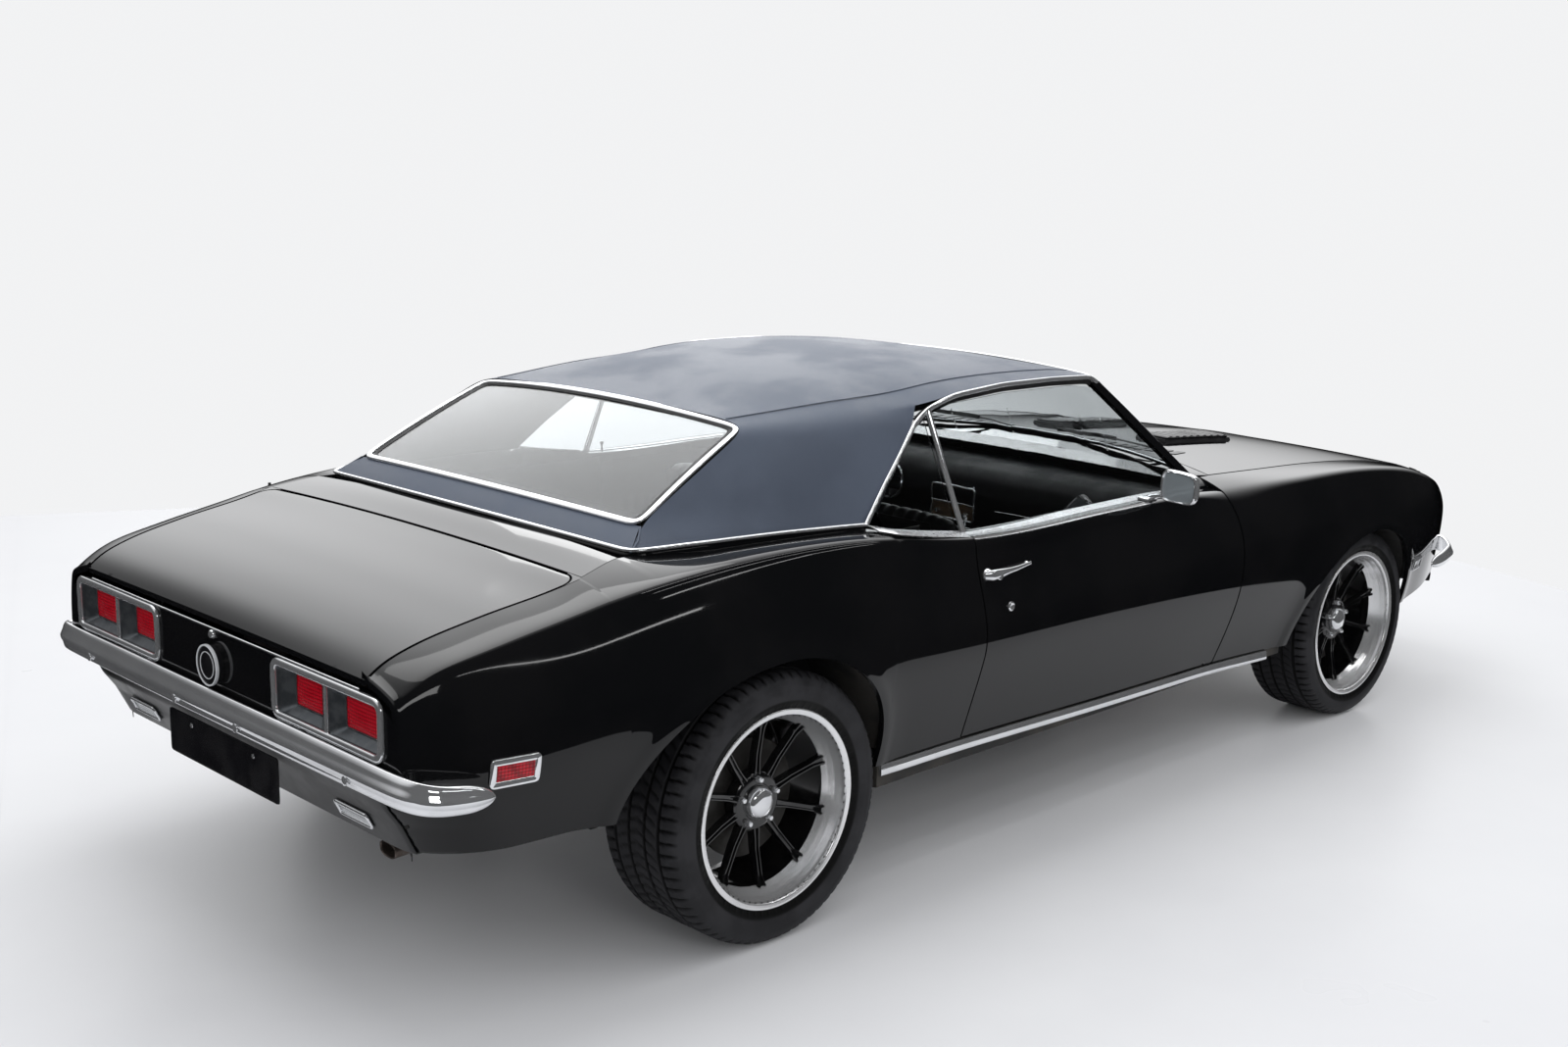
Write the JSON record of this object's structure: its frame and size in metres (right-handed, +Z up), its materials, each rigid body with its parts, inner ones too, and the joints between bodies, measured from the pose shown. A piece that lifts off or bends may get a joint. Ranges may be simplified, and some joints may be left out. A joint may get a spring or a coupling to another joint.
{
  "type": "two-door hardtop muscle car",
  "caption": "Two-door hardtop coupe with opening doors, hood and trunk lid, steered front wheels on knuckles, full cabin, running gear and a vinyl-covered roof.",
  "frame": {"origin": "on the ground under the middle of the car's overall box", "axes": "+X forward along the car, +Y to the car's left, +Z up"},
  "size_m": [4.69, 2.014, 1.312],
  "materials": {
    "body_paint": "gloss black paint",
    "vinyl_roof": "black grained vinyl",
    "bright_chrome": "bright chrome plate",
    "satin_trim": "satin bright moulding",
    "side_glass": "light grey tinted glass",
    "red_lens": "red lens",
    "clear_lens": "clear lens",
    "underbody": "satin black underbody",
    "engine_paint": "painted iron",
    "steel": "bare steel",
    "grille_black": "satin black",
    "plate_black": "plain black blank plate",
    "seat_vinyl": "black seat vinyl",
    "dash_plastic": "black grained plastic",
    "rim_metal": "polished lip with black spokes",
    "tyre_rubber": "black rubber"
  },
  "bodies": {
    "body": {"console": "dash_plastic", "cowl": "body_paint", "dashboard": "dash_plastic", "deck_filler": "body_paint", "driveline": "steel", "engine": "engine_paint", "exhaust": "steel", "floor_pan": "underbody", "front_bumper": "bright_chrome", "front_fenders": "body_paint", "front_seats": "seat_vinyl", "front_subframe": "underbody", "front_valance": "body_paint", "fuel_cap": "bright_chrome", "fuel_tank": "steel", "grille": "grille_black", "inner_fenders": "underbody", "licence_plate": "plate_black", "nose_panel": "body_paint", "quarter_glass": "side_glass", "quarter_panels": "body_paint", "rear_axle": "underbody", "rear_bumper": "bright_chrome", "rear_seat": "seat_vinyl", "rear_valance": "body_paint", "rear_window": "side_glass", "rocker_mouldings": "satin_trim", "roof": "vinyl_roof", "side_markers": "red_lens", "signal_lamps": "clear_lens", "tail_lamp_bezels": "bright_chrome", "tail_lamps": "red_lens", "tail_panel": "body_paint", "windshield": "side_glass"},
    "steering_wheel": {"steering_wheel": "dash_plastic"},
    "knuckle_left": {"knuckle_left": "steel"},
    "knuckle_right": {"knuckle_right": "steel"},
    "hood": {"hood": "body_paint", "hood_inserts": "bright_chrome"},
    "trunk_lid": {"trunk_lid": "body_paint"},
    "door_left": {"door_left": "body_paint", "door_glass_left": "side_glass", "mirror_left": "bright_chrome", "door_handle_left": "bright_chrome"},
    "wheel_front_left": {"wheel_front_left": "rim_metal", "tyre_front_left": "tyre_rubber"},
    "wheel_rear_left": {"wheel_rear_left": "rim_metal", "tyre_rear_left": "tyre_rubber"},
    "door_right": {"door_right": "body_paint", "door_glass_right": "side_glass", "mirror_right": "bright_chrome", "door_handle_right": "bright_chrome"},
    "wheel_front_right": {"wheel_front_right": "rim_metal", "tyre_front_right": "tyre_rubber"},
    "wheel_rear_right": {"wheel_rear_right": "rim_metal", "tyre_rear_right": "tyre_rubber"}
  },
  "joints": [
    {"name": "steer_left", "type": "hinge", "parent": "body", "child": "knuckle_left", "pos_m": [1.413, 0.725, 0.321], "axis": [0, 0, 1], "range_deg": [-30, 30]},
    {"name": "steer_right", "type": "hinge", "parent": "body", "child": "knuckle_right", "pos_m": [1.413, -0.725, 0.321], "axis": [0, 0, 1], "range_deg": [-30, 30]},
    {"name": "steering_wheel_turn", "type": "hinge", "parent": "body", "child": "steering_wheel", "pos_m": [0.12, 0.375, 0.755], "axis": [-0.9161, 0, 0.401], "range_deg": [-420, 420]},
    {"name": "door_left_swing", "type": "hinge", "parent": "body", "child": "door_left", "pos_m": [0.5545, 0.9, 0.64], "axis": [0, 0, -1], "range_deg": [0, 62]},
    {"name": "door_right_swing", "type": "hinge", "parent": "body", "child": "door_right", "pos_m": [0.5545, -0.9, 0.64], "axis": [0, 0, 1], "range_deg": [0, 62]},
    {"name": "hood_lift", "type": "hinge", "parent": "body", "child": "hood", "pos_m": [0.625, 0, 0.884], "axis": [0, -1, 0], "range_deg": [0, 50]},
    {"name": "trunk_lid_lift", "type": "hinge", "parent": "body", "child": "trunk_lid", "pos_m": [-1.665, 0, 0.925], "axis": [0, 1, 0], "range_deg": [0, 45]},
    {"name": "wheel_front_left_spin", "type": "hinge", "parent": "knuckle_left", "child": "wheel_front_left", "pos_m": [1.413, 0.7555, 0.321], "axis": [0, 1, 0], "continuous": true},
    {"name": "wheel_rear_left_spin", "type": "hinge", "parent": "body", "child": "wheel_rear_left", "pos_m": [-1.33, 0.763, 0.338], "axis": [0, 1, 0], "continuous": true},
    {"name": "wheel_front_right_spin", "type": "hinge", "parent": "knuckle_right", "child": "wheel_front_right", "pos_m": [1.413, -0.7555, 0.321], "axis": [0, 1, 0], "continuous": true},
    {"name": "wheel_rear_right_spin", "type": "hinge", "parent": "body", "child": "wheel_rear_right", "pos_m": [-1.33, -0.763, 0.338], "axis": [0, 1, 0], "continuous": true}
  ],
  "couplings": [
    {"joint": "steer_right", "follows": "steer_left", "ratio": 1},
    {"joint": "steering_wheel_turn", "follows": "steer_left", "ratio": 14}
  ]
}
